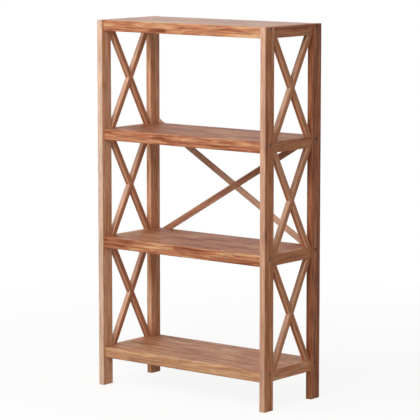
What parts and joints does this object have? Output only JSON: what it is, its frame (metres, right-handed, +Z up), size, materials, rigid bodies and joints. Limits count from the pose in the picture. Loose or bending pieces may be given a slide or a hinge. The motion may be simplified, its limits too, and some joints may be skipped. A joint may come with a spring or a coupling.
{
  "type": "shelving unit",
  "caption": "Open shelving unit in oiled hardwood with X-braced ladder ends, bolted stave shelves and a thin cross brace let into the back.",
  "frame": {"origin": "on the floor, under the middle of the unit's box", "axes": "+X to the unit's right end seen from its front, +Y to its back, +Z up"},
  "size_m": [0.655, 0.28, 1.15],
  "materials": {
    "frame_hardwood": "oiled, satin",
    "shelf_hardwood": "oiled, satin",
    "zinc_plated_steel": "zinc plated"
  },
  "bodies": {
    "root": {"back_brace_falling": "frame_hardwood", "back_brace_rising": "frame_hardwood", "back_brace_screws": "zinc_plated_steel", "barrel_nuts": "zinc_plated_steel", "end_rail_left_bottom": "frame_hardwood", "end_rail_left_lower": "frame_hardwood", "end_rail_left_top": "frame_hardwood", "end_rail_left_upper": "frame_hardwood", "end_rail_right_bottom": "frame_hardwood", "end_rail_right_lower": "frame_hardwood", "end_rail_right_top": "frame_hardwood", "end_rail_right_upper": "frame_hardwood", "post_back_left": "frame_hardwood", "post_back_right": "frame_hardwood", "post_front_left": "frame_hardwood", "post_front_right": "frame_hardwood", "shelf_bolts": "zinc_plated_steel", "shelf_bottom_back_apron": "shelf_hardwood", "shelf_bottom_front_apron": "shelf_hardwood", "shelf_bottom_stave_1": "shelf_hardwood", "shelf_bottom_stave_2": "shelf_hardwood", "shelf_bottom_stave_3": "shelf_hardwood", "shelf_bottom_stave_4": "shelf_hardwood", "shelf_bottom_stave_5": "shelf_hardwood", "shelf_lower_back_apron": "shelf_hardwood", "shelf_lower_front_apron": "shelf_hardwood", "shelf_lower_stave_1": "shelf_hardwood", "shelf_lower_stave_2": "shelf_hardwood", "shelf_lower_stave_3": "shelf_hardwood", "shelf_lower_stave_4": "shelf_hardwood", "shelf_lower_stave_5": "shelf_hardwood", "shelf_top_back_apron": "shelf_hardwood", "shelf_top_front_apron": "shelf_hardwood", "shelf_top_stave_1": "shelf_hardwood", "shelf_top_stave_2": "shelf_hardwood", "shelf_top_stave_3": "shelf_hardwood", "shelf_top_stave_4": "shelf_hardwood", "shelf_top_stave_5": "shelf_hardwood", "shelf_upper_back_apron": "shelf_hardwood", "shelf_upper_front_apron": "shelf_hardwood", "shelf_upper_stave_1": "shelf_hardwood", "shelf_upper_stave_2": "shelf_hardwood", "shelf_upper_stave_3": "shelf_hardwood", "shelf_upper_stave_4": "shelf_hardwood", "shelf_upper_stave_5": "shelf_hardwood", "side_brace_left_lower_falling": "frame_hardwood", "side_brace_left_lower_rising": "frame_hardwood", "side_brace_left_middle_falling": "frame_hardwood", "side_brace_left_middle_rising": "frame_hardwood", "side_brace_left_upper_falling": "frame_hardwood", "side_brace_left_upper_rising": "frame_hardwood", "side_brace_right_lower_falling": "frame_hardwood", "side_brace_right_lower_rising": "frame_hardwood", "side_brace_right_middle_falling": "frame_hardwood", "side_brace_right_middle_rising": "frame_hardwood", "side_brace_right_upper_falling": "frame_hardwood", "side_brace_right_upper_rising": "frame_hardwood"}
  },
  "joints": []
}
